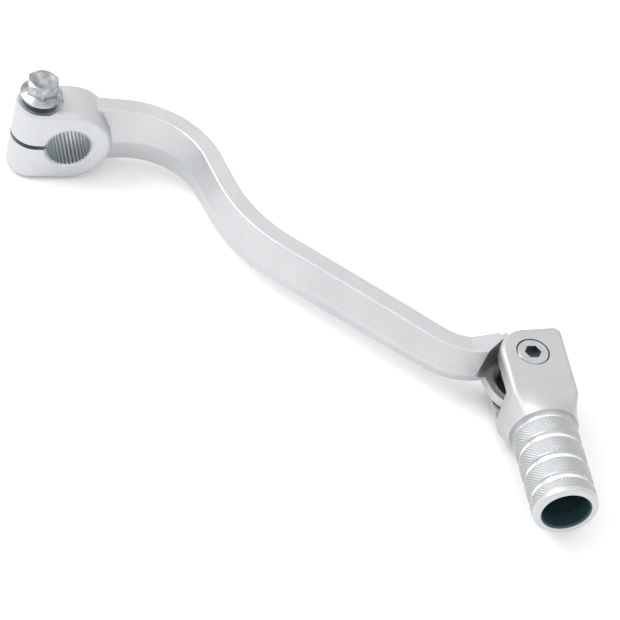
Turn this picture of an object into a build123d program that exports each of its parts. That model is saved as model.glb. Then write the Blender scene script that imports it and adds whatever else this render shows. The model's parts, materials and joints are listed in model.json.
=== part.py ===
from build123d import *
from math import cos, radians, sin, tan
import os

os.makedirs("parts", exist_ok=True)

# A gear shift lever with a folding toe tip. Millimetres. The origin is the centre of the splined
# bore, half way through the clamp boss. +X runs from the bore towards the tip, -Y is outboard,
# away from the engine, and +Z runs up the clamp bolt. The arm bends in the XY plane.

# ---- clamp boss: a split eye around the gearbox shaft ----
boss_width = 13.0
boss_radius = 12.0
boss_rounding = 1.8
spline_land_radius = 6.0
spline_depth = 0.45
spline_count = 36
spline_gap = 0.6
bore_chamfer = 0.35
slot_height = 1.4

# ---- clamp bolt: M5 flange bolt across the slot, turned in but not yet tightened ----
bolt_radius = 2.5
bolt_offset = 8.6
bolt_length = 22.0
bolt_lift = 2.4
bolt_turn = 23.0
hex_across_flats = 8.0
hex_height = 5.3
hex_bevel_radius = 3.8
hex_bevel_angle = 30.0
flange_radius = 5.8
flange_rim = 0.8
flange_thickness = 1.6
thread_clearance = 0.05
shank_clearance = 0.3
spot_face_clearance = 0.45
spot_face_depth = 0.5

# ---- arm: a tapering forged bar along two arcs and three straights ----
arm_inset = 1.5
root_start = 7.1
root_length = 15.0
outward_radius = 23.0
outward_angle = 76.0
middle_length = 10.0
forward_radius = 42.0
forward_angle = 34.0
run_length = 48.0
end_radius = 16.0
end_angle = 44.0
end_length = 5.5
root_height = 17.6
root_arm_width = 9.0
root_flare = 0.7
root_flare_length = 9.0
waist_height = 13.6
end_height = 11.2
end_flare_angle = 24.0
end_block_height = 12.4
end_block_width = 10.6
end_block_flat = 6.0
end_block_rise = 0.9
cup_wall = 1.3
cup_reach = 4.5
pocket_start = 2.0
end_arm_width = 9.2
arm_flat = 5.0
crown_drop = 0.8
crown_radius = 1.6
arm_edge_radius = 0.5

# ---- folding hinge: pivot screw, bushing, washers and spring, from the top down ----
pivot_x = 111.2
pivot_y = -88.3
screw_radius = 3.0
screw_head_radius = 4.5
screw_head_height = 2.8
screw_head_chamfer = 0.45
socket_across_flats = 4.0
socket_depth = 2.2
bushing_radius = 4.0
running_clearance = 0.05
face_clearance = 0.15
washer_radius = 8.0
washer_thickness = 0.4
tongue_radius = 9.6
tongue_thickness = 2.9
stop_lug_width = 5.0
stop_lug_offset = 4.0
fold_angle = 50.0
spring_wire_radius = 0.75
spring_mean_radius = 6.2
spring_full_turns = 3
spring_arm_leg_angle = 170.0
spring_leg_bite = 2.5
spring_hole_clearance = 0.25
spring_pocket_depth = 2.0
spring_step = 15.0
spring_leg_steps = 8
coil_clearance = 0.05

# ---- folding tip: a forked hub that runs into a knurled tube ----
hub_width = 18.2
hub_height = 18.0
hub_back = 9.3
hub_length = 13.5
hub_rounding = 1.4
hub_corner = 2.2
hub_clearance = 0.35
barrel_shift = 0.6
shoulder_radius = 9.3
barrel_radius = 8.6
barrel_start = 20.0
barrel_end = 46.8
barrel_rounding = 0.8
barrel_bore_radius = 6.25
barrel_bore_depth = 24.0
barrel_bore_chamfer = 0.5
groove_width = 1.8
groove_depth = 0.5
groove_pitch = 6.8
groove_count = 4
lower_ear = 3.0
fork_clearance = 0.6

# ---- levels of the hinge, worked out from the pieces that stack in it ----
fork_floor = -hub_height / 2 + lower_ear
tongue_floor = fork_floor + washer_thickness + face_clearance
tongue_top = tongue_floor + tongue_thickness
upper_washer_floor = tongue_top
spring_floor = upper_washer_floor + washer_thickness + face_clearance + spring_wire_radius
spring_pitch = 2 * spring_wire_radius + coil_clearance
spring_start_angle = spring_arm_leg_angle - 90
spring_sweep = spring_start_angle + 360 * spring_full_turns
spring_rise = spring_sweep / 360 * spring_pitch
fork_roof = spring_floor + spring_rise + spring_wire_radius + face_clearance
spot_face_level = boss_radius - spot_face_depth
bolt_seat = spot_face_level + bolt_lift
pivot = Vector(pivot_x, pivot_y, 0)
hub_left = hub_width / 2 - barrel_shift
hub_right = hub_width / 2 + barrel_shift
recess_radius = hub_left + hub_clearance
cup_top = end_block_rise + end_block_height / 2 - arm_edge_radius
fork_reach = tongue_radius + fork_clearance
tip_plane = Plane(origin=pivot + Vector(barrel_shift, 0, 0), x_dir=(1, 0, 0), z_dir=(0, -1, 0))


def arm_section(path, place, height, width, flat=arm_flat, rise=0.0):
    """Six-sided bar section, widest a little below the middle, square to the arm's line."""
    along = path % place
    centre = path @ place + Vector(0, 0, rise)
    plane = Plane(origin=centre, x_dir=Vector(0, 0, 1).cross(along), z_dir=along)
    with BuildSketch(plane) as section:
        with BuildLine():
            Polyline(
                (-flat / 2, height / 2),
                (flat / 2, height / 2),
                (width / 2, -crown_drop),
                (flat / 2, -height / 2),
                (-flat / 2, -height / 2),
                (-width / 2, -crown_drop),
                close=True,
            )
        make_face()
        levels = section.vertices().group_by(Axis.Y)
        fillet(levels[0] + levels[-1], arm_edge_radius)
        fillet(section.vertices().sort_by(lambda v: abs(v.Y + crown_drop))[:2], crown_radius)
    return section.sketch


def ring(inner_radius, outer_radius, level, thickness):
    """Flat ring around the hinge pivot, standing on a level."""
    with BuildPart() as flat_ring:
        with BuildSketch(Plane.XY.offset(level)):
            with Locations((pivot_x, pivot_y)):
                Circle(outer_radius)
                Circle(inner_radius, mode=Mode.SUBTRACT)
        extrude(amount=thickness)
    return flat_ring.part


def around_pivot(radius, degrees, level):
    """Point at a radius and an angle around the hinge pivot."""
    turn_to = radians(degrees)
    return pivot + Vector(radius * cos(turn_to), radius * sin(turn_to), level)


# The spring's wire: it leaves the arm, winds clockwise as it climbs, and runs on into the tip.
leg_along = Vector(cos(radians(spring_arm_leg_angle)), sin(radians(spring_arm_leg_angle)), 0)
coil_start = around_pivot(spring_mean_radius, spring_start_angle, spring_floor)
coil_end = around_pivot(spring_mean_radius, 0, spring_floor + spring_rise)
arm_leg_length = recess_radius + spring_pocket_depth + spring_leg_bite
tip_leg_length = fork_reach + spring_leg_bite
arm_leg_plane = Plane(origin=coil_start, z_dir=leg_along)
tip_leg_plane = Plane(origin=coil_end, z_dir=(0, -1, 0))
coil_steps = round(spring_sweep / spring_step)
spring_points = []
for step in range(spring_leg_steps):
    reach = (arm_leg_length - spring_hole_clearance) * (1 - step / spring_leg_steps)
    spring_points.append(coil_start + leg_along * reach)
for step in range(coil_steps + 1):
    share = step / coil_steps
    degrees = spring_start_angle - share * spring_sweep
    spring_points.append(around_pivot(spring_mean_radius, degrees, spring_floor + share * spring_rise))
for step in range(spring_leg_steps):
    reach = (tip_leg_length - spring_hole_clearance) * (step + 1) / spring_leg_steps
    spring_points.append(coil_end - Vector(0, reach, 0))


# The centre line of the arm: out of the boss, outboard, forward again, and on to the hinge.
with BuildLine() as arm_line:
    root = Line((root_start, arm_inset), (root_length, arm_inset))
    outward = JernArc(root @ 1, root % 1, outward_radius, -outward_angle)
    middle = PolarLine(outward @ 1, middle_length, direction=outward % 1)
    forward = JernArc(middle @ 1, middle % 1, forward_radius, forward_angle)
    run = PolarLine(forward @ 1, run_length, direction=forward % 1)
    turn = JernArc(run @ 1, run % 1, end_radius, end_angle)
    finish = PolarLine(turn @ 1, end_length, direction=turn % 1)
arm_path = arm_line.wires()[0]
arm_end = finish @ 1

with BuildLine() as flare_line:
    flare_share = 1 - end_flare_angle / end_angle
    flare = JernArc(turn @ flare_share, turn % flare_share, end_radius, end_flare_angle)
    Line(flare @ 1, arm_end)
flare_path = flare_line.wires()[0]

# The shift arm is one forging: clamp boss, tapering arm, recessed end and hinge tongue.
with BuildPart() as shift_arm:
    with BuildSketch(Plane.XZ):
        Circle(boss_radius)
        with Locations((-(bolt_offset + boss_width / 2) / 2, 0)):
            Rectangle(bolt_offset + boss_width / 2, 2 * boss_radius)
    extrude(amount=boss_width / 2, both=True)
    with BuildSketch(Plane.XY):
        with Locations((-bolt_offset, 0)):
            Circle(boss_width / 2)
            Rectangle(bolt_offset + boss_radius, boss_width, align=(Align.MIN, Align.CENTER))
    extrude(amount=boss_radius, both=True, mode=Mode.INTERSECT)
    rims = shift_arm.edges().filter_by(Axis.Z, reverse=True).filter_by(Axis.Y, reverse=True)
    fillet(rims, boss_rounding)
    sweep(
        sections=[
            arm_section(arm_path, 0, root_height + 2 * root_flare, root_arm_width + 2 * root_flare),
            arm_section(arm_path, root_flare_length / arm_path.length, root_height, root_arm_width),
            arm_section(arm_path, 0.5, waist_height, root_arm_width),
            arm_section(arm_path, 1, end_height, end_arm_width),
        ],
        path=arm_path,
        multisection=True,
    )
    # The last of the bar swells up into a block that stands almost as high as the hub.
    sweep(
        sections=[
            arm_section(flare_path, 0, end_height - arm_edge_radius, end_arm_width - arm_edge_radius),
            arm_section(flare_path, 1, end_block_height, end_block_width, end_block_flat, end_block_rise),
        ],
        path=flare_path,
        multisection=True,
    )
    # A thin cup wall carries the block on around the back of the hub.
    with BuildSketch(Plane.XY.offset(tongue_top)):
        with Locations((pivot_x, pivot_y)):
            Circle(recess_radius + cup_wall)
            with Locations((-cup_reach, 0)):
                Rectangle(hub_width, hub_width, align=(Align.MAX, Align.MIN), mode=Mode.INTERSECT)
    extrude(amount=cup_top - tongue_top)
    # The end is hollowed around the hinge so that the hub can turn in it.
    for level, height in ((tongue_top, hub_height), (tongue_floor, -hub_height)):
        with BuildSketch(Plane.XY.offset(level)):
            with Locations((pivot_x, pivot_y)):
                Circle(recess_radius)
            for folded in (0, -fold_angle):
                with Locations(Location((pivot_x, pivot_y), folded)):
                    with Locations((-recess_radius, 0)):
                        Rectangle(2 * hub_width, 2 * hub_width, align=(Align.MIN, Align.MAX))
        extrude(amount=height, mode=Mode.SUBTRACT)
    with BuildSketch(Plane.XY.offset(tongue_floor)):
        with Locations((pivot_x, pivot_y)):
            Circle(tongue_radius)
        with Locations(arm_end):
            Circle(end_arm_width / 2)
        make_hull()
    extrude(amount=tongue_thickness)
    with BuildSketch(Plane.XY.offset(tongue_floor)):
        with Locations((pivot_x + stop_lug_offset, pivot_y - fork_reach + face_clearance)):
            Rectangle(stop_lug_width, tongue_radius / 2, align=(Align.CENTER, Align.MIN))
    extrude(amount=tongue_thickness)
    with BuildSketch(Plane.XY.offset(tongue_top)):
        with Locations((pivot_x, pivot_y)):
            Circle(recess_radius + spring_pocket_depth)
            with Locations((0, pocket_start)):
                Rectangle(2 * hub_width, 2 * hub_width, align=(Align.CENTER, Align.MAX), mode=Mode.INTERSECT)
    extrude(amount=fork_roof - tongue_top - face_clearance, mode=Mode.SUBTRACT)
    with BuildSketch(Plane.XY.offset(tongue_floor)):
        with Locations((pivot_x, pivot_y)):
            Circle(bushing_radius + running_clearance)
    extrude(amount=tongue_thickness, mode=Mode.SUBTRACT)
    # Bore with its splines, opened by the slot.
    with BuildSketch(Plane.XZ.offset(-boss_width / 2)):
        Circle(spline_land_radius)
        with PolarLocations(spline_land_radius, spline_count):
            Polygon(
                (-spline_depth, -spline_gap / 2),
                (0, -spline_gap / 2),
                (spline_depth, 0),
                (0, spline_gap / 2),
                (-spline_depth, spline_gap / 2),
                align=None,
            )
    extrude(amount=boss_width, mode=Mode.SUBTRACT)
    for side in (-1, 1):
        mouth = Plane(origin=(0, side * boss_width / 2, 0), x_dir=(1, 0, 0), z_dir=(0, side, 0))
        with BuildSketch(mouth):
            Circle(spline_land_radius + spline_depth + bore_chamfer)
        extrude(amount=-bore_chamfer, taper=45, mode=Mode.SUBTRACT)
    with BuildSketch(Plane.XZ):
        Rectangle(bolt_offset + boss_width, slot_height, align=(Align.MAX, Align.CENTER))
    extrude(amount=boss_width, both=True, mode=Mode.SUBTRACT)
    # Bolt seat and holes: clear above the slot, threaded below it.
    with BuildSketch(Plane.XY.offset(spot_face_level)):
        with Locations((-bolt_offset, 0)):
            Circle(flange_radius + spot_face_clearance)
    extrude(amount=boss_radius, mode=Mode.SUBTRACT)
    with BuildSketch(Plane.XY):
        with Locations((-bolt_offset, 0)):
            Circle(bolt_radius + shank_clearance)
    extrude(amount=boss_radius, mode=Mode.SUBTRACT)
    with BuildSketch(Plane.XY):
        with Locations((-bolt_offset, 0)):
            Circle(bolt_radius + thread_clearance)
    extrude(amount=-boss_radius, mode=Mode.SUBTRACT)
    # Hole for the spring's lower leg.
    with BuildSketch(arm_leg_plane):
        Circle(spring_wire_radius + spring_hole_clearance)
    extrude(amount=arm_leg_length, mode=Mode.SUBTRACT)
shift_arm.part.label = "shift_arm"
export_step(shift_arm.part, "parts/shift_arm.step")

# Clamp bolt: a bevelled hexagon on a coned flange, with a plain shank that stands for the thread.
with BuildPart() as clamp_bolt:
    with BuildSketch(Plane.XY.offset(bolt_seat)):
        with Locations((-bolt_offset, 0)):
            RegularPolygon(hex_across_flats / 2, 6, major_radius=False, rotation=bolt_turn)
    extrude(amount=hex_height)
    with Locations((-bolt_offset, 0, bolt_seat)):
        Cone(
            bottom_radius=hex_bevel_radius + hex_height / tan(radians(hex_bevel_angle)),
            top_radius=hex_bevel_radius,
            height=hex_height,
            align=(Align.CENTER, Align.CENTER, Align.MIN),
            mode=Mode.INTERSECT,
        )
        Cylinder(flange_radius, flange_rim, align=(Align.CENTER, Align.CENTER, Align.MIN))
        Cylinder(bolt_radius, bolt_length, align=(Align.CENTER, Align.CENTER, Align.MAX))
    with Locations((-bolt_offset, 0, bolt_seat + flange_rim)):
        Cone(
            bottom_radius=flange_radius,
            top_radius=hex_across_flats / 2,
            height=flange_thickness - flange_rim,
            align=(Align.CENTER, Align.CENTER, Align.MIN),
        )
clamp_bolt.part.label = "clamp_bolt"
export_step(clamp_bolt.part, "parts/clamp_bolt.step")

# Folding tip: a forked hub, a blend to round, and a grooved tube that is open at its end.
with BuildPart() as folding_tip:
    with BuildSketch(Plane.XY) as hub_plan:
        with Locations((pivot_x, pivot_y)):
            Circle(hub_left)
            Polygon(
                (0, hub_left),
                (hub_right, hub_back),
                (hub_right, -hub_length),
                (-hub_left, -hub_length),
                (-hub_left, 0),
                (0, 0),
                align=None,
            )
        fillet(hub_plan.vertices().sort_by(lambda v: v.X + v.Y)[-1], hub_corner)
    extrude(amount=hub_height / 2, both=True)
    caps = folding_tip.faces().filter_by(Axis.Z).edges()
    front = folding_tip.faces().sort_by(Axis.Y)[0].edges()
    fillet([edge for edge in caps if edge not in front], hub_rounding)
    with BuildSketch(tip_plane.offset(hub_length)):
        RectangleRounded(hub_width, hub_height, hub_rounding)
    with BuildSketch(tip_plane.offset(barrel_start)):
        Circle(shoulder_radius)
    loft()
    with BuildSketch(tip_plane.offset(barrel_start)):
        Circle(barrel_radius)
    extrude(amount=barrel_end - barrel_start)
    fillet(folding_tip.edges().sort_by(Axis.Y)[0], barrel_rounding)
    with BuildSketch(tip_plane.offset(barrel_end)):
        Circle(barrel_bore_radius)
    extrude(amount=-barrel_bore_depth, mode=Mode.SUBTRACT)
    rims = folding_tip.edges().filter_by(GeomType.CIRCLE).group_by(Axis.Y)[0]
    chamfer(rims.sort_by(SortBy.RADIUS)[0], barrel_bore_chamfer)
    for groove in range(groove_count):
        with BuildSketch(tip_plane.offset(barrel_start + groove * groove_pitch)):
            Circle(shoulder_radius + groove_depth)
            Circle(barrel_radius - groove_depth, mode=Mode.SUBTRACT)
        extrude(amount=groove_width, mode=Mode.SUBTRACT)
    # The fork that takes the tongue, and the screw's holes through its two ears.
    with BuildSketch(Plane.XY.offset(fork_floor)):
        with Locations((pivot_x, pivot_y - fork_reach)):
            Rectangle(2 * hub_width, 2 * hub_width, align=(Align.CENTER, Align.MIN))
    extrude(amount=fork_roof - fork_floor, mode=Mode.SUBTRACT)
    with Locations((pivot_x, pivot_y, hub_height / 2)):
        CounterBoreHole(
            radius=screw_radius + thread_clearance,
            counter_bore_radius=screw_head_radius + running_clearance,
            counter_bore_depth=screw_head_height,
        )
    with BuildSketch(tip_leg_plane):
        Circle(spring_wire_radius + spring_hole_clearance)
    extrude(amount=tip_leg_length, mode=Mode.SUBTRACT)
folding_tip.part.label = "folding_tip"
export_step(folding_tip.part, "parts/folding_tip.step")

# Pivot screw: a flush round head with a hexagon socket, screwed into the lower ear.
with BuildPart() as pivot_screw:
    with BuildSketch(Plane.XY.offset(hub_height / 2)):
        with Locations((pivot_x, pivot_y)):
            Circle(screw_head_radius)
    extrude(amount=-screw_head_height)
    chamfer(pivot_screw.edges().sort_by(Axis.Z)[-1], screw_head_chamfer)
    with BuildSketch(Plane.XY.offset(-hub_height / 2)):
        with Locations((pivot_x, pivot_y)):
            Circle(screw_radius)
    extrude(amount=hub_height - screw_head_height)
    with BuildSketch(Plane.XY.offset(hub_height / 2)):
        with Locations((pivot_x, pivot_y)):
            RegularPolygon(socket_across_flats / 2, 6, major_radius=False)
    extrude(amount=-socket_depth, mode=Mode.SUBTRACT)
pivot_screw.part.label = "pivot_screw"
export_step(pivot_screw.part, "parts/pivot_screw.step")

# Bushing and washers around the screw. The bushing keeps the ears apart, so the tongue turns free.
bushing_bore = screw_radius + running_clearance
washer_bore = bushing_radius + running_clearance
pivot_bushing = ring(bushing_bore, bushing_radius, fork_floor, fork_roof - fork_floor)
pivot_bushing.label = "pivot_bushing"
export_step(pivot_bushing, "parts/pivot_bushing.step")
lower_washer = ring(washer_bore, washer_radius, fork_floor, washer_thickness)
lower_washer.label = "lower_thrust_washer"
export_step(lower_washer, "parts/lower_thrust_washer.step")
upper_washer = ring(washer_bore, washer_radius, tongue_top, washer_thickness)
upper_washer.label = "upper_thrust_washer"
export_step(upper_washer, "parts/upper_thrust_washer.step")

# Return spring: a leg in the arm, a coil that climbs around the bushing, and a leg in the tip.
with BuildPart() as return_spring:
    with BuildLine():
        Spline(*spring_points)
    with BuildSketch(arm_leg_plane):
        Circle(spring_wire_radius)
    sweep()
return_spring.part.label = "return_spring"
export_step(return_spring.part, "parts/return_spring.step")
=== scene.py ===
import json
from math import ceil, cos, pi, radians, sin, tan

import bmesh
import bpy
from mathutils import Matrix, Vector


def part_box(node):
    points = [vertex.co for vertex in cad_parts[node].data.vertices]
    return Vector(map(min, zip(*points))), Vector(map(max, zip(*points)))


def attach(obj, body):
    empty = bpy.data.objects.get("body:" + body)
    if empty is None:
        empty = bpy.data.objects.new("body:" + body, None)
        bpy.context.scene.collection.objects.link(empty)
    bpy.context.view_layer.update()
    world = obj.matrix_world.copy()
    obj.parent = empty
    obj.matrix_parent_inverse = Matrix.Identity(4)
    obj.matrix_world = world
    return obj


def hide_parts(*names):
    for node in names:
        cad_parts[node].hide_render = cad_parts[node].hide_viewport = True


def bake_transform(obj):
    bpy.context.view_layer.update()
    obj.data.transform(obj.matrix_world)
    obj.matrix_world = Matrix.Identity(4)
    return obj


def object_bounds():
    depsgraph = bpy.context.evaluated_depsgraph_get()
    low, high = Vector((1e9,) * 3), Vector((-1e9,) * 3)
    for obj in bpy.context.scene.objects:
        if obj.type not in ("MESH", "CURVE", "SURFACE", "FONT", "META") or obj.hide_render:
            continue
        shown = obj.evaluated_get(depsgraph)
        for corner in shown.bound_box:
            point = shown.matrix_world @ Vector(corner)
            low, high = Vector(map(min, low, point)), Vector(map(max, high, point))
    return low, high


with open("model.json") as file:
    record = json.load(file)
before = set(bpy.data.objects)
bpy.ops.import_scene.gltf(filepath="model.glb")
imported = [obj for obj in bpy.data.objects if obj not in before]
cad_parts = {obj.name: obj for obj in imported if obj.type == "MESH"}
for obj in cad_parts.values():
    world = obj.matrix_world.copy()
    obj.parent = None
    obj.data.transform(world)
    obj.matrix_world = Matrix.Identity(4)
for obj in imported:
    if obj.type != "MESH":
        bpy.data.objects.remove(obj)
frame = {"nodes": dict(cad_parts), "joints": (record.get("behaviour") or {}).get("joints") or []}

cad_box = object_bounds()

# ======== Shift arm ========
# One aluminium forging: the split clamp boss with its broached bore, the S-bent tapering arm and
# the hollowed end with the hinge tongue. It is bead blasted and clear coated to a matt silver.
# The bore and the saw cut are machined afterwards and left bare. They and the hinge pocket are
# painted darker as shade, and the boss top under the bolt flange carries a painted shadow.

MM = 0.001
FORGED_LIGHT = (0.63, 0.64, 0.65, 1)
FORGED_DEEP = (0.52, 0.53, 0.545, 1)
FORGED_WORN = (0.80, 0.805, 0.81, 1)
ARM_BORE_PAINTED_SHADE = (0.46, 0.50, 0.51, 1)
POCKET_PAINTED_SHADE = (0.02, 0.027, 0.029, 1)
FLANGE_PAINTED_SHADOW = (0.26, 0.28, 0.29, 1)
BORE_ZONE_RADIUS = 6.48 * MM
SAW_CUT_HALF_HEIGHT = 0.75 * MM
SAW_CUT_END = -5 * MM
POCKET_RADIUS = 11.3 * MM
POCKET_FLOOR = -2.45 * MM
POCKET_ROOF = 0.6 * MM
POCKET_START = 2.1 * MM
SPOT_FACE_RADIUS = 4.9 * MM
SPOT_FACE_LEVEL = 11.3 * MM
BOSS_TOP = 11.95 * MM
EDGE_WEAR_SHARE = 0.3
WORN_POLISH = -0.12
hinge = frame["joints"][0]
pivot = Vector(hinge["pos_m"])


def add_node(tree, kind, inputs=None, **settings):
    """Node with its settings made, and each input given a value or linked to a socket."""
    node = tree.nodes.new(kind)
    for name, value in settings.items():
        setattr(node, name, value)
    for name, value in (inputs or {}).items():
        if isinstance(value, bpy.types.NodeSocket):
            tree.links.new(value, node.inputs[name])
        else:
            node.inputs[name].default_value = value
    return node


def calculate(tree, operation, *values):
    """Result of a Math node on numbers and sockets."""
    inputs = dict(enumerate(values))
    return add_node(tree, "ShaderNodeMath", inputs, operation=operation).outputs[0]


def mix_colour(tree, factor, first, second):
    """One colour turning into another as the factor goes from 0 to 1."""
    inputs = {0: factor, 6: first, 7: second}
    return add_node(tree, "ShaderNodeMix", inputs, data_type="RGBA").outputs[2]


def slope(tree, value, start, end, low=0.0, high=1.0):
    """Value carried from one range to another, and held at its ends."""
    inputs = {"Value": value, "From Min": start, "From Max": end, "To Min": low, "To Max": high}
    return add_node(tree, "ShaderNodeMapRange", inputs).outputs["Result"]


def node_group(name, kind, inputs, outputs):
    """Empty node group with named sockets, and its input and output nodes."""
    tree = bpy.data.node_groups.new(name, kind)
    for socket_name, socket_kind, value in inputs:
        socket = tree.interface.new_socket(socket_name, in_out="INPUT", socket_type=socket_kind)
        if value is not None:
            socket.default_value = value
    for socket_name, socket_kind in outputs:
        tree.interface.new_socket(socket_name, in_out="OUTPUT", socket_type=socket_kind)
    return tree, tree.nodes.new("NodeGroupInput").outputs, tree.nodes.new("NodeGroupOutput").inputs


def new_material(name):
    """Empty material with a Principled shader, and the piece's own coordinates."""
    material = bpy.data.materials.new(name)
    material.use_nodes = True
    tree = material.node_tree
    tree.nodes.clear()
    shader = tree.nodes.new("ShaderNodeBsdfPrincipled")
    add_node(tree, "ShaderNodeOutputMaterial", {"Surface": shader.outputs["BSDF"]})
    place = tree.nodes.new("ShaderNodeTexCoord").outputs["Object"]
    return material, tree, shader, place


def use_group(tree, group, **inputs):
    """A node group placed in a material with its own values."""
    named = {name.replace("_", " "): value for name, value in inputs.items()}
    return add_node(tree, "ShaderNodeGroup", named, node_tree=group).outputs


# Grain: the fine pitting of blasted, cast or plated metal, with broad faint blotches.
metal_grain, given, result = node_group(
    "metal_grain",
    "ShaderNodeTree",
    [
        ("Grain Size", "NodeSocketFloat", 0.0004),
        ("Grain Depth", "NodeSocketFloat", 0.00002),
        ("Blotch Size", "NodeSocketFloat", 0.012),
    ],
    [("Fleck", "NodeSocketFloat"), ("Blotch", "NodeSocketFloat"), ("Normal", "NodeSocketVector")],
)
place = metal_grain.nodes.new("ShaderNodeTexCoord").outputs["Object"]
fine_scale = calculate(metal_grain, "DIVIDE", 1.0, given["Grain Size"])
broad_scale = calculate(metal_grain, "DIVIDE", 1.0, given["Blotch Size"])
fine = add_node(
    metal_grain, "ShaderNodeTexNoise", {"Vector": place, "Scale": fine_scale, "Detail": 3.0}
).outputs[0]
broad = add_node(
    metal_grain, "ShaderNodeTexNoise", {"Vector": place, "Scale": broad_scale, "Detail": 4.0}
).outputs[0]
bump = add_node(
    metal_grain, "ShaderNodeBump", {"Height": fine, "Distance": given["Grain Depth"], "Strength": 1.0}
)
metal_grain.links.new(slope(metal_grain, fine, 0.3, 0.7), result["Fleck"])
metal_grain.links.new(slope(metal_grain, broad, 0.3, 0.7), result["Blotch"])
metal_grain.links.new(bump.outputs["Normal"], result["Normal"])

# Edge wear: where a rounded normal leaves the true one, the edge is handled and rubbed bright.
edge_wear, given, result = node_group(
    "edge_wear",
    "ShaderNodeTree",
    [("Width", "NodeSocketFloat", 0.0006), ("Breakup Size", "NodeSocketFloat", 0.002)],
    [("Wear", "NodeSocketFloat")],
)
rounded = add_node(edge_wear, "ShaderNodeBevel", {"Radius": given["Width"]}, samples=4)
true_normal = edge_wear.nodes.new("ShaderNodeNewGeometry").outputs["Normal"]
agreement = add_node(
    edge_wear, "ShaderNodeVectorMath", {0: rounded.outputs[0], 1: true_normal}, operation="DOT_PRODUCT"
).outputs["Value"]
place = edge_wear.nodes.new("ShaderNodeTexCoord").outputs["Object"]
breakup_scale = calculate(edge_wear, "DIVIDE", 1.0, given["Breakup Size"])
breakup = add_node(
    edge_wear, "ShaderNodeTexNoise", {"Vector": place, "Scale": breakup_scale, "Detail": 4.0}
).outputs[0]
edge = slope(edge_wear, agreement, 0.995, 0.88)
worn = calculate(edge_wear, "MULTIPLY", edge, slope(edge_wear, breakup, 0.35, 0.6))
edge_wear.links.new(worn, result["Wear"])

# Distance from an axis, for lathe rings, knurl crests and the zones of painted shade in bores.
from_axis, given, result = node_group(
    "from_axis",
    "ShaderNodeTree",
    [
        ("Centre", "NodeSocketVector", (0, 0, 0)),
        ("Across", "NodeSocketVector", (1, 1, 1)),
    ],
    [("Distance", "NodeSocketFloat")],
)
place = from_axis.nodes.new("ShaderNodeTexCoord").outputs["Object"]
offset = add_node(
    from_axis, "ShaderNodeVectorMath", {0: place, 1: given["Centre"]}, operation="SUBTRACT"
).outputs[0]
flat = add_node(
    from_axis, "ShaderNodeVectorMath", {0: offset, 1: given["Across"]}, operation="MULTIPLY"
).outputs[0]
length = add_node(from_axis, "ShaderNodeVectorMath", {0: flat}, operation="LENGTH").outputs["Value"]
from_axis.links.new(length, result["Distance"])

# Ring zone: one inside a ring about an upright axis, for painted shade in pockets, under the bolt flange
# and on round screw heads.
ring_zone, given, result = node_group(
    "ring_zone",
    "ShaderNodeTree",
    [
        ("Centre", "NodeSocketVector", (0, 0, 0)),
        ("Inner", "NodeSocketFloat", -1.0),
        ("Outer", "NodeSocketFloat", 0.01),
        ("Low", "NodeSocketFloat", 0.0),
        ("High", "NodeSocketFloat", 0.01),
    ],
    [("Inside", "NodeSocketFloat")],
)
distance = use_group(ring_zone, from_axis, Centre=given["Centre"], Across=(1, 1, 0))["Distance"]
place = ring_zone.nodes.new("ShaderNodeTexCoord").outputs["Object"]
level = add_node(ring_zone, "ShaderNodeSeparateXYZ", {0: place}).outputs["Z"]
past_inner = calculate(ring_zone, "GREATER_THAN", distance, given["Inner"])
before_outer = calculate(ring_zone, "LESS_THAN", distance, given["Outer"])
above_low = calculate(ring_zone, "GREATER_THAN", level, given["Low"])
below_high = calculate(ring_zone, "LESS_THAN", level, given["High"])
across_zone = calculate(ring_zone, "MULTIPLY", past_inner, before_outer)
up_zone = calculate(ring_zone, "MULTIPLY", above_low, below_high)
ring_zone.links.new(calculate(ring_zone, "MULTIPLY", across_zone, up_zone), result["Inside"])

forged_alloy, tree, shader, place = new_material("forged_alloy")
shader.inputs["Metallic"].default_value = 1.0
grain = use_group(tree, metal_grain, Grain_Size=0.45 * MM, Grain_Depth=0.035 * MM, Blotch_Size=14 * MM)
wear = use_group(tree, edge_wear, Width=0.5 * MM, Breakup_Size=3 * MM)["Wear"]
axes = add_node(tree, "ShaderNodeSeparateXYZ", {0: place}).outputs
half_fleck = calculate(tree, "MULTIPLY", grain["Fleck"], 0.5)
speckle = calculate(tree, "MULTIPLY_ADD", grain["Blotch"], 0.5, half_fleck)
skin = mix_colour(tree, speckle, FORGED_DEEP, FORGED_LIGHT)
skin = mix_colour(tree, calculate(tree, "MULTIPLY", wear, EDGE_WEAR_SHARE), skin, FORGED_WORN)
bore_distance = use_group(tree, from_axis, Across=(1, 0, 1))["Distance"]
in_bore = calculate(tree, "LESS_THAN", bore_distance, BORE_ZONE_RADIUS)
beside_bore = calculate(tree, "LESS_THAN", axes["X"], SAW_CUT_END)
saw_height = calculate(tree, "ABSOLUTE", axes["Z"])
level_with_cut = calculate(tree, "LESS_THAN", saw_height, SAW_CUT_HALF_HEIGHT)
in_cut = calculate(tree, "MULTIPLY", level_with_cut, beside_bore)
bore_and_cut_shade = calculate(tree, "MAXIMUM", in_bore, in_cut)
around_pivot = use_group(
    tree, ring_zone, Centre=pivot, Outer=POCKET_RADIUS, Low=POCKET_FLOOR, High=POCKET_ROOF
)["Inside"]
before_cup = calculate(tree, "LESS_THAN", axes["Y"], pivot.y + POCKET_START)
pocket_shade = calculate(tree, "MULTIPLY", around_pivot, before_cup)
bolt_low, bolt_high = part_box("clamp_bolt")
bolt_centre = (bolt_low + bolt_high) / 2
flange_shadow = use_group(
    tree, ring_zone, Centre=bolt_centre, Outer=SPOT_FACE_RADIUS, Low=SPOT_FACE_LEVEL, High=BOSS_TOP
)["Inside"]
# Painted shade: the bore and the saw cut are coloured darker where shade falls inside them.
skin = mix_colour(tree, bore_and_cut_shade, skin, ARM_BORE_PAINTED_SHADE)
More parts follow.
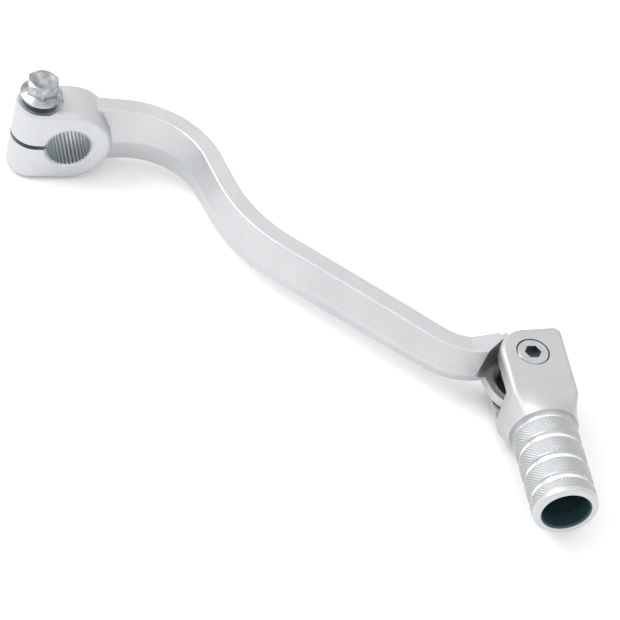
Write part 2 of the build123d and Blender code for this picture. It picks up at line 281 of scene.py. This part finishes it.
# Painted shade: the hinge pocket round the pivot, up to just above the tongue, is coloured near black.
skin = mix_colour(tree, pocket_shade, skin, POCKET_PAINTED_SHADE)
# Painted shadow: the boss top under the bolt flange is coloured dark where the flange's shadow falls.
skin = mix_colour(tree, flange_shadow, skin, FLANGE_PAINTED_SHADOW)
tree.links.new(skin, shader.inputs["Base Color"])
roughness = slope(tree, grain["Blotch"], 0.0, 1.0, 0.48, 0.56)
roughness = calculate(tree, "MULTIPLY_ADD", wear, WORN_POLISH, roughness)
tree.links.new(roughness, shader.inputs["Roughness"])
tree.links.new(grain["Normal"], shader.inputs["Normal"])
frame["nodes"]["shift_arm"].data.materials[0] = forged_alloy

# ======== Clamp bolt ========
# An M5 flange bolt with an 8 mm hexagon, cold headed in steel, its thread rolled, and bright zinc
# plated. It is turned in from above by hand, with its flange still clear of the boss.

ZINC_LIGHT = (0.54, 0.55, 0.565, 1)
ZINC_DEEP = (0.22, 0.235, 0.245, 1)
ZINC_WORN = (0.80, 0.81, 0.82, 1)
HEX_FLAT = 4.0 * MM
HEX_TURN = radians(23)
HEX_HEIGHT = 5.3 * MM
HEX_BEVEL_RADIUS = 3.75 * MM
HEX_BEVEL_SLOPE = tan(radians(30))
HEX_STEPS = 96
HEX_CORNER_REACH = 1.135
FLANGE_RIM = 0.75 * MM
FLANGE_TOP = 1.75 * MM
THREAD_RADIUS = 2.5 * MM
THREAD_PITCH = 0.8 * MM
THREAD_DEPTH = 0.45 * MM
THREAD_STEPS_ROUND = 64
THREAD_STEPS_PER_PITCH = 10
THREAD_RUN_OUT = 1.0 * MM
ZINC_WEAR_SHARE = 0.7
flange_radius = (bolt_high.x - bolt_low.x) / 2
bolt_seat = bolt_high.z - HEX_HEIGHT


def mesh_object(name, mesh, material, sharp_degrees=35):
    """Object for a mesh, smooth but for its sharp edges, with one material."""
    for face in mesh.polygons:
        face.use_smooth = True
    mesh.set_sharp_from_angle(angle=radians(sharp_degrees))
    mesh.materials.clear()
    mesh.materials.append(material)
    made = bpy.data.objects.new(name, mesh)
    bpy.context.scene.collection.objects.link(made)
    return made


def turned_shape(name, profile, centre, steps=96, radius_at=None):
    """Closed mesh turned about Z: profile holds (radius, height) from one pole to the other."""
    shape = bmesh.new()
    rings = []
    for radius, height in profile:
        ring = []
        for step in range(steps):
            angle = 2 * pi * step / steps
            reach, level = radius_at(angle, radius, height) if radius_at else (radius, height)
            ring.append(shape.verts.new((reach * cos(angle), reach * sin(angle), level)))
        rings.append(ring)
    for lower, upper in zip(rings, rings[1:]):
        for step in range(steps):
            after = (step + 1) % steps
            shape.faces.new((lower[step], lower[after], upper[after], upper[step]))
    for ring, level in ((rings[0], profile[0][1]), (rings[-1], profile[-1][1])):
        pole = shape.verts.new((0, 0, level))
        for step in range(steps):
            shape.faces.new((pole, ring[step], ring[(step + 1) % steps]))
    bmesh.ops.translate(shape, vec=centre, verts=shape.verts)
    bmesh.ops.recalc_face_normals(shape, faces=shape.faces)
    mesh = bpy.data.meshes.new(name)
    shape.to_mesh(mesh)
    shape.free()
    return mesh


def hexagon_reach(angle, radius, height):
    """Radius and height on a bevelled hexagon; a radius of None is the hexagon's own side."""
    if radius is not None:
        return radius, height
    from_corner = (angle - HEX_TURN) % (pi / 3) - pi / 6
    side = HEX_FLAT / cos(from_corner)
    rounded = min(side, HEX_FLAT * HEX_CORNER_REACH)
    drop = max(0.0, rounded - HEX_BEVEL_RADIUS) * HEX_BEVEL_SLOPE
    return rounded, height - drop if height > FLANGE_TOP else height


bright_zinc, tree, shader, place = new_material("bright_zinc")
shader.inputs["Metallic"].default_value = 1.0
grain = use_group(tree, metal_grain, Grain_Size=0.8 * MM, Grain_Depth=0.025 * MM, Blotch_Size=2.2 * MM)
wear = use_group(tree, edge_wear, Width=0.25 * MM, Breakup_Size=1 * MM)["Wear"]
plate = mix_colour(tree, grain["Blotch"], ZINC_DEEP, ZINC_LIGHT)
plate = mix_colour(tree, calculate(tree, "MULTIPLY", wear, ZINC_WEAR_SHARE), plate, ZINC_WORN)
tree.links.new(plate, shader.inputs["Base Color"])
tree.links.new(slope(tree, grain["Blotch"], 0.0, 1.0, 0.34, 0.24), shader.inputs["Roughness"])
tree.links.new(grain["Normal"], shader.inputs["Normal"])

seat_centre = Vector((bolt_centre.x, bolt_centre.y, bolt_seat))
head_profile = [
    (3.3 * MM, 0.6 * MM),
    (None, 0.6 * MM),
    (None, 1.0 * MM),
    (None, HEX_HEIGHT),
    (HEX_BEVEL_RADIUS, HEX_HEIGHT),
    (3.3 * MM, HEX_HEIGHT),
    (3.05 * MM, HEX_HEIGHT - 0.05 * MM),
    (2.75 * MM, HEX_HEIGHT - 0.18 * MM),
    (2.2 * MM, HEX_HEIGHT - 0.24 * MM),
    (1.0 * MM, HEX_HEIGHT - 0.27 * MM),
]
head_mesh = turned_shape("bolt_head", head_profile, seat_centre, HEX_STEPS, hexagon_reach)
bolt_head = mesh_object("bolt_head", head_mesh, bright_zinc, 20)
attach(bolt_head, "lever")
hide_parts("clamp_bolt")

flange_profile = [
    (2.0 * MM, bolt_low.z - bolt_seat + THREAD_DEPTH),
    (2.05 * MM, bolt_low.z - bolt_seat + 2 * THREAD_DEPTH),
    (2.05 * MM, -1.2 * MM),
    (2.5 * MM, -0.9 * MM),
    (2.55 * MM, -0.1 * MM),
    (2.7 * MM, 0.0),
    (flange_radius - 0.3 * MM, 0.0),
    (flange_radius - 0.08 * MM, 0.06 * MM),
    (flange_radius, 0.25 * MM),
    (flange_radius, FLANGE_RIM - 0.2 * MM),
    (flange_radius - 0.08 * MM, FLANGE_RIM),
    (flange_radius - 0.3 * MM, FLANGE_RIM + 0.14 * MM),
    (flange_radius - 1.1 * MM, FLANGE_RIM + 0.45 * MM),
    (4.25 * MM, FLANGE_TOP - 0.25 * MM),
    (3.9 * MM, FLANGE_TOP),
    (3.4 * MM, FLANGE_TOP + 0.3 * MM),
]
flange_mesh = turned_shape("bolt_flange", flange_profile, seat_centre)
bolt_flange = mesh_object("bolt_flange", flange_mesh, bright_zinc)
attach(bolt_flange, "lever")

# A sleeve with crossed or single ridges: a rolled thread has one set, a knurl has two that cross.
# The sheet is wrapped round Z and closed on itself inside the bar that carries it.
ridged_sleeve, given, result = node_group(
    "ridged_sleeve",
    "GeometryNodeTree",
    [
        ("Geometry", "NodeSocketGeometry", None),
        ("Radius", "NodeSocketFloat", 0.0025),
        ("Length", "NodeSocketFloat", 0.01),
        ("Ridge Height", "NodeSocketFloat", 0.0004),
        ("Pitch", "NodeSocketFloat", 0.0008),
        ("First Starts", "NodeSocketFloat", 1.0),
        ("Second Starts", "NodeSocketFloat", 1.0),
        ("Steps Round", "NodeSocketInt", 64),
        ("Steps Along", "NodeSocketInt", 60),
        ("Finish", "NodeSocketMaterial", None),
    ],
    [("Geometry", "NodeSocketGeometry")],
)
sleeve = ridged_sleeve
ROOT_SINK = 0.25 * MM
WELD_DISTANCE = 0.0005 * MM
rows = calculate(sleeve, "ADD", given["Steps Along"], 3.0)
columns = calculate(sleeve, "ADD", given["Steps Round"], 1.0)
sheet = add_node(
    sleeve,
    "GeometryNodeMeshGrid",
    {"Size X": 1.0, "Size Y": 1.0, "Vertices X": columns, "Vertices Y": rows},
).outputs["Mesh"]
sheet_position = sleeve.nodes.new("GeometryNodeInputPosition").outputs[0]
sheet_place = add_node(sleeve, "ShaderNodeSeparateXYZ", {0: sheet_position})
turn_share = calculate(sleeve, "ADD", sheet_place.outputs["X"], 0.5)
row_share = calculate(sleeve, "ADD", sheet_place.outputs["Y"], 0.5)
last_row = calculate(sleeve, "SUBTRACT", rows, 1.0)
row = calculate(sleeve, "ROUND", calculate(sleeve, "MULTIPLY", row_share, last_row))
along_row = calculate(sleeve, "SUBTRACT", row, 1.0)
last_along = calculate(sleeve, "SUBTRACT", given["Steps Along"], 1.0)
along_share = calculate(sleeve, "DIVIDE", along_row, last_along)
inside_end = calculate(sleeve, "GREATER_THAN", along_share, 1.0001)
last_is_first = calculate(sleeve, "GREATER_THAN", row, calculate(sleeve, "SUBTRACT", last_row, 0.5))
first_row = calculate(sleeve, "LESS_THAN", along_row, -0.5)
inside_start = calculate(sleeve, "MAXIMUM", first_row, last_is_first)
inside = calculate(sleeve, "MAXIMUM", inside_end, inside_start)
clamped = slope(sleeve, along_share, 0.0, 1.0)
end_share = calculate(sleeve, "MULTIPLY", clamped, calculate(sleeve, "SUBTRACT", 1.0, inside_start))
level = calculate(sleeve, "MULTIPLY", end_share, given["Length"])
turns_along = calculate(sleeve, "DIVIDE", level, given["Pitch"])
ridges = []
for starts in ("First Starts", "Second Starts"):
    phase = calculate(sleeve, "MULTIPLY_ADD", turn_share, given[starts], turns_along)
    ridges.append(calculate(sleeve, "PINGPONG", phase, 0.5))
crossed = calculate(sleeve, "MULTIPLY", calculate(sleeve, "MINIMUM", *ridges), 2.0)
from_end = calculate(sleeve, "MINIMUM", level, calculate(sleeve, "SUBTRACT", given["Length"], level))
run_out = slope(sleeve, calculate(sleeve, "DIVIDE", from_end, given["Pitch"]), 0.0, 0.5)
faded = calculate(sleeve, "MULTIPLY", crossed, run_out)
relief = calculate(sleeve, "MULTIPLY", faded, given["Ridge Height"])
sink = calculate(sleeve, "MULTIPLY", inside, ROOT_SINK)
reach = calculate(sleeve, "SUBTRACT", calculate(sleeve, "ADD", given["Radius"], relief), sink)
angle = calculate(sleeve, "MULTIPLY", turn_share, 2 * pi)
wrapped = add_node(
    sleeve,
    "ShaderNodeCombineXYZ",
    {
        "X": calculate(sleeve, "MULTIPLY", calculate(sleeve, "COSINE", angle), reach),
        "Y": calculate(sleeve, "MULTIPLY", calculate(sleeve, "SINE", angle), reach),
        "Z": level,
    },
).outputs[0]
shaped = add_node(sleeve, "GeometryNodeSetPosition", {"Geometry": sheet, "Position": wrapped})
welded = add_node(
    sleeve, "GeometryNodeMergeByDistance", {"Geometry": shaped.outputs[0], "Distance": WELD_DISTANCE}
)
real = add_node(sleeve, "GeometryNodeRealizeInstances", {"Geometry": welded.outputs[0]})
coated = add_node(
    sleeve, "GeometryNodeSetMaterial", {"Geometry": real.outputs[0], "Material": given["Finish"]}
)
sleeve.links.new(coated.outputs[0], result["Geometry"])


def from_nodes(name, tree, values, move):
    """Plain mesh object made by a Geometry Nodes tree with the given input values."""
    holder = bpy.data.objects.new(name + "_holder", bpy.data.meshes.new(name + "_holder"))
    bpy.context.scene.collection.objects.link(holder)
    maker = holder.modifiers.new("maker", "NODES")
    maker.node_group = tree
    sockets = tree.interface.items_tree
    identifiers = {item.name: item.identifier for item in sockets if item.in_out == "INPUT"}
    for input_name, value in values.items():
        maker[identifiers[input_name]] = value
    graph = bpy.context.evaluated_depsgraph_get()
    mesh = bpy.data.meshes.new_from_object(holder.evaluated_get(graph))
    holder.modifiers.remove(maker)
    bpy.data.objects.remove(holder)
    mesh.name = name
    mesh.transform(move)
    shape = bmesh.new()
    shape.from_mesh(mesh)
    bmesh.ops.recalc_face_normals(shape, faces=shape.faces)
    shape.to_mesh(mesh)
    shape.free()
    return mesh_object(name, mesh, values["Finish"])


thread_length = bolt_seat - THREAD_RUN_OUT - bolt_low.z - THREAD_DEPTH
thread_rows = ceil(thread_length / THREAD_PITCH * THREAD_STEPS_PER_PITCH)
bolt_thread = from_nodes(
    "bolt_thread",
    ridged_sleeve,
    {
        "Radius": THREAD_RADIUS - THREAD_DEPTH,
        "Length": thread_length,
        "Ridge Height": THREAD_DEPTH,
        "Pitch": THREAD_PITCH,
        "First Starts": 1.0,
        "Second Starts": 1.0,
        "Steps Round": THREAD_STEPS_ROUND,
        "Steps Along": thread_rows,
        "Finish": bright_zinc,
    },
    Matrix.Translation((bolt_centre.x, bolt_centre.y, bolt_low.z + THREAD_DEPTH)),
)
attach(bolt_thread, "lever")

# ======== Folding tip ========
# An aluminium toe peg: a blasted forked hub that blends into a turned tube. The tube is left bare,
# with four polished grooves, fine diamond knurling between them and an open bore. The bore is
# painted dark as shade, and the knurl's roots are painted darker than its crests as shade.

HUB_DEEP = (0.50, 0.505, 0.515, 1)
HUB_LIGHT = (0.58, 0.585, 0.595, 1)
TUBE_BARE = (0.58, 0.59, 0.60, 1)
GROOVE_POLISH = (0.95, 0.95, 0.955, 1)
PEG_BORE_PAINTED_SHADE = (0.02, 0.05, 0.057, 1)
TUBE_SHIFT = 0.6 * MM
TUBE_START = 20.0 * MM
TUBE_END = 46.8 * MM
TUBE_RADIUS = 8.6 * MM
TUBE_RIM = 1.6 * MM
BORE_RADIUS = 6.9 * MM
BORE_FLOOR = 22.0 * MM
GROOVE_PITCH = 6.8 * MM
GROOVE_WIDTH = 1.8 * MM
GROOVE_MARGIN = 0.03 * MM
GROOVE_COUNT = 4
KNURL_STARTS = 58
KNURL_HEIGHT = 0.22 * MM
KNURL_LENGTH_PITCH = 0.92 * MM
KNURL_STEPS_PER_START = 6
KNURL_STEPS_PER_PITCH = 8
KNURL_INSET = 0.05 * MM
KNURL_SINK = 0.02 * MM
GROOVE_POLISHED_BY = -0.34
TURNED_LINES_PER_METRE = 9000.0
TURNED_LINE_DEPTH = 0.01 * MM
KNURL_ROOT_PAINTED_SHADE = (0.36, 0.37, 0.38, 1)
KNURL_CREST = (0.76, 0.77, 0.78, 1)
tube_axis = Vector((pivot.x + TUBE_SHIFT, pivot.y, 0))

tip_alloy, tree, shader, place = new_material("tip_alloy")
grain = use_group(tree, metal_grain, Grain_Size=0.45 * MM, Grain_Depth=0.03 * MM, Blotch_Size=11 * MM)
wear = use_group(tree, edge_wear, Width=0.5 * MM, Breakup_Size=3 * MM)["Wear"]
axes = add_node(tree, "ShaderNodeSeparateXYZ", {0: place}).outputs
half_fleck = calculate(tree, "MULTIPLY", grain["Fleck"], 0.5)
speckle = calculate(tree, "MULTIPLY_ADD", grain["Blotch"], 0.5, half_fleck)
skin = mix_colour(tree, speckle, HUB_DEEP, HUB_LIGHT)
skin = mix_colour(tree, calculate(tree, "MULTIPLY", wear, EDGE_WEAR_SHARE), skin, FORGED_WORN)
down_tube = calculate(tree, "SUBTRACT", pivot.y - TUBE_START - GROOVE_MARGIN, axes["Y"])
on_tube = calculate(tree, "GREATER_THAN", down_tube, 0.0)
within_pitch = calculate(tree, "MODULO", down_tube, GROOVE_PITCH)
in_width = calculate(tree, "LESS_THAN", within_pitch, GROOVE_WIDTH - 2 * GROOVE_MARGIN)
in_count = calculate(tree, "LESS_THAN", down_tube, GROOVE_PITCH * GROOVE_COUNT)
in_groove = calculate(tree, "MULTIPLY", calculate(tree, "MULTIPLY", in_width, in_count), on_tube)
axis_distance = use_group(tree, from_axis, Centre=tube_axis, Across=(1, 0, 1))["Distance"]
near_axis = calculate(tree, "LESS_THAN", axis_distance, BORE_RADIUS - 0.2 * MM)
past_floor = calculate(tree, "GREATER_THAN", down_tube, BORE_FLOOR - TUBE_START)
peg_bore_shade = calculate(tree, "MULTIPLY", near_axis, past_floor)
skin = mix_colour(tree, on_tube, skin, TUBE_BARE)
skin = mix_colour(tree, in_groove, skin, GROOVE_POLISH)
# Painted shade: the deep bore of the tube is coloured dark teal and made non-metallic where shade falls.
skin = mix_colour(tree, peg_bore_shade, skin, PEG_BORE_PAINTED_SHADE)
tree.links.new(skin, shader.inputs["Base Color"])
tree.links.new(calculate(tree, "SUBTRACT", 1.0, peg_bore_shade), shader.inputs["Metallic"])
along_lines = calculate(tree, "MULTIPLY", axes["Y"], TURNED_LINES_PER_METRE)
lines = add_node(
    tree, "ShaderNodeTexNoise", {"W": along_lines, "Scale": 1.0}, noise_dimensions="1D"
).outputs[0]
roughness = slope(tree, grain["Blotch"], 0.0, 1.0, 0.46, 0.54)
roughness = calculate(tree, "MULTIPLY_ADD", in_groove, GROOVE_POLISHED_BY, roughness)
tree.links.new(roughness, shader.inputs["Roughness"])
turned_height = calculate(tree, "MULTIPLY", lines, on_tube)
turned = add_node(
    tree,
    "ShaderNodeBump",
    {"Height": turned_height, "Distance": TURNED_LINE_DEPTH, "Normal": grain["Normal"]},
)
tree.links.new(turned.outputs["Normal"], shader.inputs["Normal"])
frame["nodes"]["folding_tip"].data.materials[0] = tip_alloy

knurled_alloy, tree, shader, place = new_material("knurled_alloy")
shader.inputs["Metallic"].default_value = 1.0
grain = use_group(tree, metal_grain, Grain_Size=0.3 * MM, Grain_Depth=0.02 * MM, Blotch_Size=5 * MM)
axis_distance = use_group(tree, from_axis, Centre=tube_axis, Across=(1, 0, 1))["Distance"]
# Painted shade: the knurl's roots are coloured darker than its crests.
crest = slope(tree, axis_distance, TUBE_RADIUS + KNURL_SINK, TUBE_RADIUS + KNURL_HEIGHT)
skin = mix_colour(tree, crest, KNURL_ROOT_PAINTED_SHADE, KNURL_CREST)
tree.links.new(skin, shader.inputs["Base Color"])
tree.links.new(slope(tree, grain["Blotch"], 0.0, 1.0, 0.36, 0.44), shader.inputs["Roughness"])
tree.links.new(grain["Normal"], shader.inputs["Normal"])

for band in range(GROOVE_COUNT):
    band_start = TUBE_START + band * GROOVE_PITCH + GROOVE_WIDTH + KNURL_INSET
    band_end = min(band_start + GROOVE_PITCH - GROOVE_WIDTH - 2 * KNURL_INSET, TUBE_END - TUBE_RIM)
    band_length = band_end - band_start
    lay_down = Matrix.Rotation(radians(90), 4, "X")
    down = Matrix.Translation(tube_axis - Vector((0, band_start, 0))) @ lay_down
    knurl = from_nodes(
        "knurl_band_%d" % (band + 1),
        ridged_sleeve,
        {
            "Radius": TUBE_RADIUS - KNURL_SINK,
            "Length": band_length,
            "Ridge Height": KNURL_HEIGHT,
            "Pitch": KNURL_LENGTH_PITCH,
            "First Starts": float(KNURL_STARTS),
            "Second Starts": float(-KNURL_STARTS),
            "Steps Round": KNURL_STARTS * KNURL_STEPS_PER_START,
            "Steps Along": ceil(band_length / KNURL_LENGTH_PITCH * KNURL_STEPS_PER_PITCH) + 1,
            "Finish": knurled_alloy,
        },
        down,
    )
    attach(knurl, "tip")

# ======== Hinge hardware ========
# A steel pivot screw with a hexagon socket, a turned brass bushing and two pressed steel washers.
# The screw is zinc plated and satin, and shows the rings that the lathe left on its head. Its
# socket and the groove round its head are painted dark as shade.


SOCKET_RADIUS = 2.4 * MM
SOCKET_FLOOR = 6.5 * MM
HEAD_TOP = 8.96 * MM
CHAMFER_INNER = 4.1 * MM
CHAMFER_OUTER = 4.7 * MM
CHAMFER_LOW = 8.3 * MM
SOCKET_PAINTED_SHADE = (0.16, 0.18, 0.185, 1)
HEAD_GROOVE_PAINTED_SHADE = (0.24, 0.25, 0.26, 1)
SCREW_LIGHT = (0.60, 0.61, 0.62, 1)
SCREW_DEEP = (0.42, 0.43, 0.44, 1)
BRASS_LIGHT = (0.72, 0.58, 0.32, 1)
BRASS_DEEP = (0.56, 0.43, 0.22, 1)
WASHER_LIGHT = (0.24, 0.25, 0.26, 1)
WASHER_DEEP = (0.13, 0.14, 0.145, 1)
LATHE_RING_DEPTH = 0.01 * MM


def turned_metal(
    name, light, deep, centre, across, ring_spacing, low_roughness, high_roughness, zones=()
):
    """Metal with fine lathe rings round an axis through a centre, and ring zones of painted shade."""
    material, tree, shader, place = new_material(name)
    shader.inputs["Metallic"].default_value = 1.0
    grain = use_group(tree, metal_grain, Grain_Size=0.35 * MM, Grain_Depth=0.02 * MM, Blotch_Size=3 * MM)
    wear = use_group(tree, edge_wear, Width=0.3 * MM, Breakup_Size=1.5 * MM)["Wear"]
    distance = use_group(tree, from_axis, Centre=centre, Across=across)["Distance"]
    rings = add_node(
        tree,
        "ShaderNodeTexNoise",
        {"W": calculate(tree, "DIVIDE", distance, ring_spacing), "Scale": 1.0},
        noise_dimensions="1D",
    ).outputs[0]
    shade = calculate(tree, "MULTIPLY_ADD", rings, 0.4, calculate(tree, "MULTIPLY", grain["Blotch"], 0.6))
    skin = mix_colour(tree, shade, deep, light)
    skin = mix_colour(tree, wear, skin, light)
    for zone_colour, limits in zones:
        inside_zone = use_group(tree, ring_zone, Centre=centre, **limits)["Inside"]
        skin = mix_colour(tree, inside_zone, skin, zone_colour)
    tree.links.new(skin, shader.inputs["Base Color"])
    tree.links.new(slope(tree, shade, 0.2, 0.8, high_roughness, low_roughness), shader.inputs["Roughness"])
    cut = add_node(
        tree,
        "ShaderNodeBump",
        {"Height": rings, "Distance": LATHE_RING_DEPTH, "Normal": grain["Normal"]},
    )
    tree.links.new(cut.outputs["Normal"], shader.inputs["Normal"])
    return material


# Painted shade in the screw's hexagon socket and in the groove round its head.
screw_painted_shade = (
    (SOCKET_PAINTED_SHADE, {"Outer": SOCKET_RADIUS, "Low": SOCKET_FLOOR, "High": HEAD_TOP}),
    (HEAD_GROOVE_PAINTED_SHADE, {"Inner": CHAMFER_INNER, "Outer": CHAMFER_OUTER, "Low": CHAMFER_LOW, "High": HEAD_TOP}),
)
screw_steel = turned_metal(
    "screw_steel", SCREW_LIGHT, SCREW_DEEP, pivot, (1, 1, 0), 0.12 * MM, 0.3, 0.4, screw_painted_shade
)
bushing_brass = turned_metal(
    "bushing_brass", BRASS_LIGHT, BRASS_DEEP, pivot, (0, 0, 1), 0.1 * MM, 0.25, 0.38
)
washer_steel = turned_metal(
    "washer_steel", WASHER_LIGHT, WASHER_DEEP, pivot, (1, 1, 0), 0.2 * MM, 0.3, 0.45
)
frame["nodes"]["pivot_screw"].data.materials[0] = screw_steel
frame["nodes"]["pivot_bushing"].data.materials[0] = bushing_brass
for washer in ("lower_thrust_washer", "upper_thrust_washer"):
    frame["nodes"][washer].data.materials[0] = washer_steel

# ======== Return spring ========
# A torsion spring of 1.5 mm oil tempered wire. Its lower leg sits in a hole in the arm, three turns
# climb round the bushing, and its upper leg sits in a hole in the tip.

WIRE_RADIUS = 0.75 * MM
COIL_RADIUS = 6.2 * MM
COIL_PITCH = 1.55 * MM
COIL_TURNS = 3
LEG_ANGLE = 170.0
ARM_LEG = 13.1 * MM
TIP_LEG = 12.4 * MM
COIL_STEP = 7.5
SPRING_STEEL = (0.03, 0.035, 0.038, 1)
SPRING_RUBBED = (0.15, 0.16, 0.165, 1)
RUBBED_SHARPNESS = 3.0
WIRE_SIDES = 5
coil_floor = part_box("return_spring")[0].z + WIRE_RADIUS
coil_start_angle = LEG_ANGLE - 90
coil_sweep = coil_start_angle + 360 * COIL_TURNS
leg_along = Vector((cos(radians(LEG_ANGLE)), sin(radians(LEG_ANGLE)), 0))


def on_coil(degrees, level):
    """Point on the middle of the coil's wire."""
    turned_by = radians(degrees)
    return Vector((pivot.x + COIL_RADIUS * cos(turned_by), pivot.y + COIL_RADIUS * sin(turned_by), level))


coil_top = coil_floor + coil_sweep / 360 * COIL_PITCH
wire_line = [on_coil(coil_start_angle, coil_floor) + leg_along * ARM_LEG]
for step in range(int(coil_sweep / COIL_STEP) + 1):
    share = step * COIL_STEP / coil_sweep
    degrees = coil_start_angle - step * COIL_STEP
    wire_line.append(on_coil(degrees, coil_floor + (coil_top - coil_floor) * share))
wire_line.append(on_coil(0, coil_top) - Vector((0, TIP_LEG, 0)))
curve = bpy.data.curves.new("spring_wire", "CURVE")
curve.dimensions = "3D"
curve.bevel_depth = WIRE_RADIUS
curve.bevel_resolution = WIRE_SIDES
curve.use_fill_caps = True
strand = curve.splines.new("POLY")
strand.points.add(len(wire_line) - 1)
for point, spot in zip(strand.points, wire_line):
    point.co = (*spot, 1)
holder = bpy.data.objects.new("spring_holder", curve)
bpy.context.scene.collection.objects.link(holder)
spring_mesh = bpy.data.meshes.new_from_object(holder.evaluated_get(bpy.context.evaluated_depsgraph_get()))
bpy.data.objects.remove(holder)

spring_steel, tree, shader, place = new_material("spring_steel")
shader.inputs["Metallic"].default_value = 1.0
grain = use_group(tree, metal_grain, Grain_Size=0.3 * MM, Grain_Depth=0.02 * MM, Blotch_Size=2.5 * MM)
rubbed = calculate(tree, "POWER", grain["Blotch"], RUBBED_SHARPNESS)
tree.links.new(mix_colour(tree, rubbed, SPRING_STEEL, SPRING_RUBBED), shader.inputs["Base Color"])
tree.links.new(slope(tree, grain["Blotch"], 0.0, 1.0, 0.42, 0.28), shader.inputs["Roughness"])
tree.links.new(grain["Normal"], shader.inputs["Normal"])
spring = mesh_object("torsion_spring", spring_mesh, spring_steel)
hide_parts("return_spring")
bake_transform(spring)

# ======== Studio ========
# A white table, a pale surround that dims towards the horizon, and soft lights from the upper left.

FLOOR_GAP = 0.2 * MM
FLOOR_SIZE = 6.0
FLOOR_WHITE = (0.97, 0.97, 0.97, 1)
HORIZON_STRENGTH = 0.8
ZENITH_STRENGTH = 1.2
ZENITH_HEIGHT = 0.9
KEY_PLACE = (-0.6, 0.25, 0.75)
KEY_SIZE = 0.5
KEY_POWER = 6.0
FILL_PLACE = (0.1, -0.9, 0.6)
FILL_SIZE = 0.7
FILL_POWER = 1.0
floor_level = cad_box[0].z - FLOOR_GAP
bpy.ops.mesh.primitive_plane_add(size=FLOOR_SIZE, location=(0, 0, floor_level))
floor = bpy.context.object
floor.name = "floor"
floor_paint, tree, shader, place = new_material("floor_paint")
shader.inputs["Base Color"].default_value = FLOOR_WHITE
shader.inputs["Roughness"].default_value = 0.9
floor.data.materials.append(floor_paint)

bpy.context.scene.view_settings.view_transform = "Standard"
world = bpy.data.worlds.new("studio")
bpy.context.scene.world = world
world.use_nodes = True
tree = world.node_tree
sky = tree.nodes.new("ShaderNodeTexCoord").outputs["Generated"]
height = add_node(tree, "ShaderNodeSeparateXYZ", {0: sky}).outputs["Z"]
strength = slope(tree, height, 0.0, ZENITH_HEIGHT, HORIZON_STRENGTH, ZENITH_STRENGTH)
tree.links.new(strength, tree.nodes["Background"].inputs["Strength"])
tree.nodes["Background"].inputs["Color"].default_value = (1, 1, 1, 1)

CAMERA_AZIMUTH = -21.7
CAMERA_ELEVATION = 45.4
CAMERA_ROLL = 15.9
CAMERA_DISTANCE = 0.9323
CAMERA_TARGET = (0.0568, -0.06545, 0.0)
CAMERA_FIELD = 10.0
azimuth = radians(CAMERA_AZIMUTH)
elevation = radians(CAMERA_ELEVATION)
back = Vector((sin(azimuth) * cos(elevation), -cos(azimuth) * cos(elevation), sin(elevation)))
camera = bpy.data.objects.new("camera", bpy.data.cameras.new("camera"))
bpy.context.scene.collection.objects.link(camera)
camera.data.angle = radians(CAMERA_FIELD)
camera.location = Vector(CAMERA_TARGET) + back * CAMERA_DISTANCE
turn = (-back).to_track_quat("-Z", "Y").to_matrix().to_4x4() @ Matrix.Rotation(radians(CAMERA_ROLL), 4, "Z")
camera.rotation_euler = turn.to_euler()
camera.data.clip_start = 0.05
camera.data.clip_end = 20
bpy.context.scene.camera = camera


def soft_box(name, place, aim, size, power):
    """Square area light at a place, turned to a point."""
    light = bpy.data.lights.new(name, "AREA")
    light.size = size
    light.energy = power
    lamp = bpy.data.objects.new(name, light)
    lamp.location = place
    lamp.rotation_euler = (Vector(aim) - Vector(place)).to_track_quat("-Z", "Y").to_euler()
    bpy.context.scene.collection.objects.link(lamp)


soft_box("key_light", KEY_PLACE, CAMERA_TARGET, KEY_SIZE, KEY_POWER)
soft_box("fill_light", FILL_PLACE, CAMERA_TARGET, FILL_SIZE, FILL_POWER)
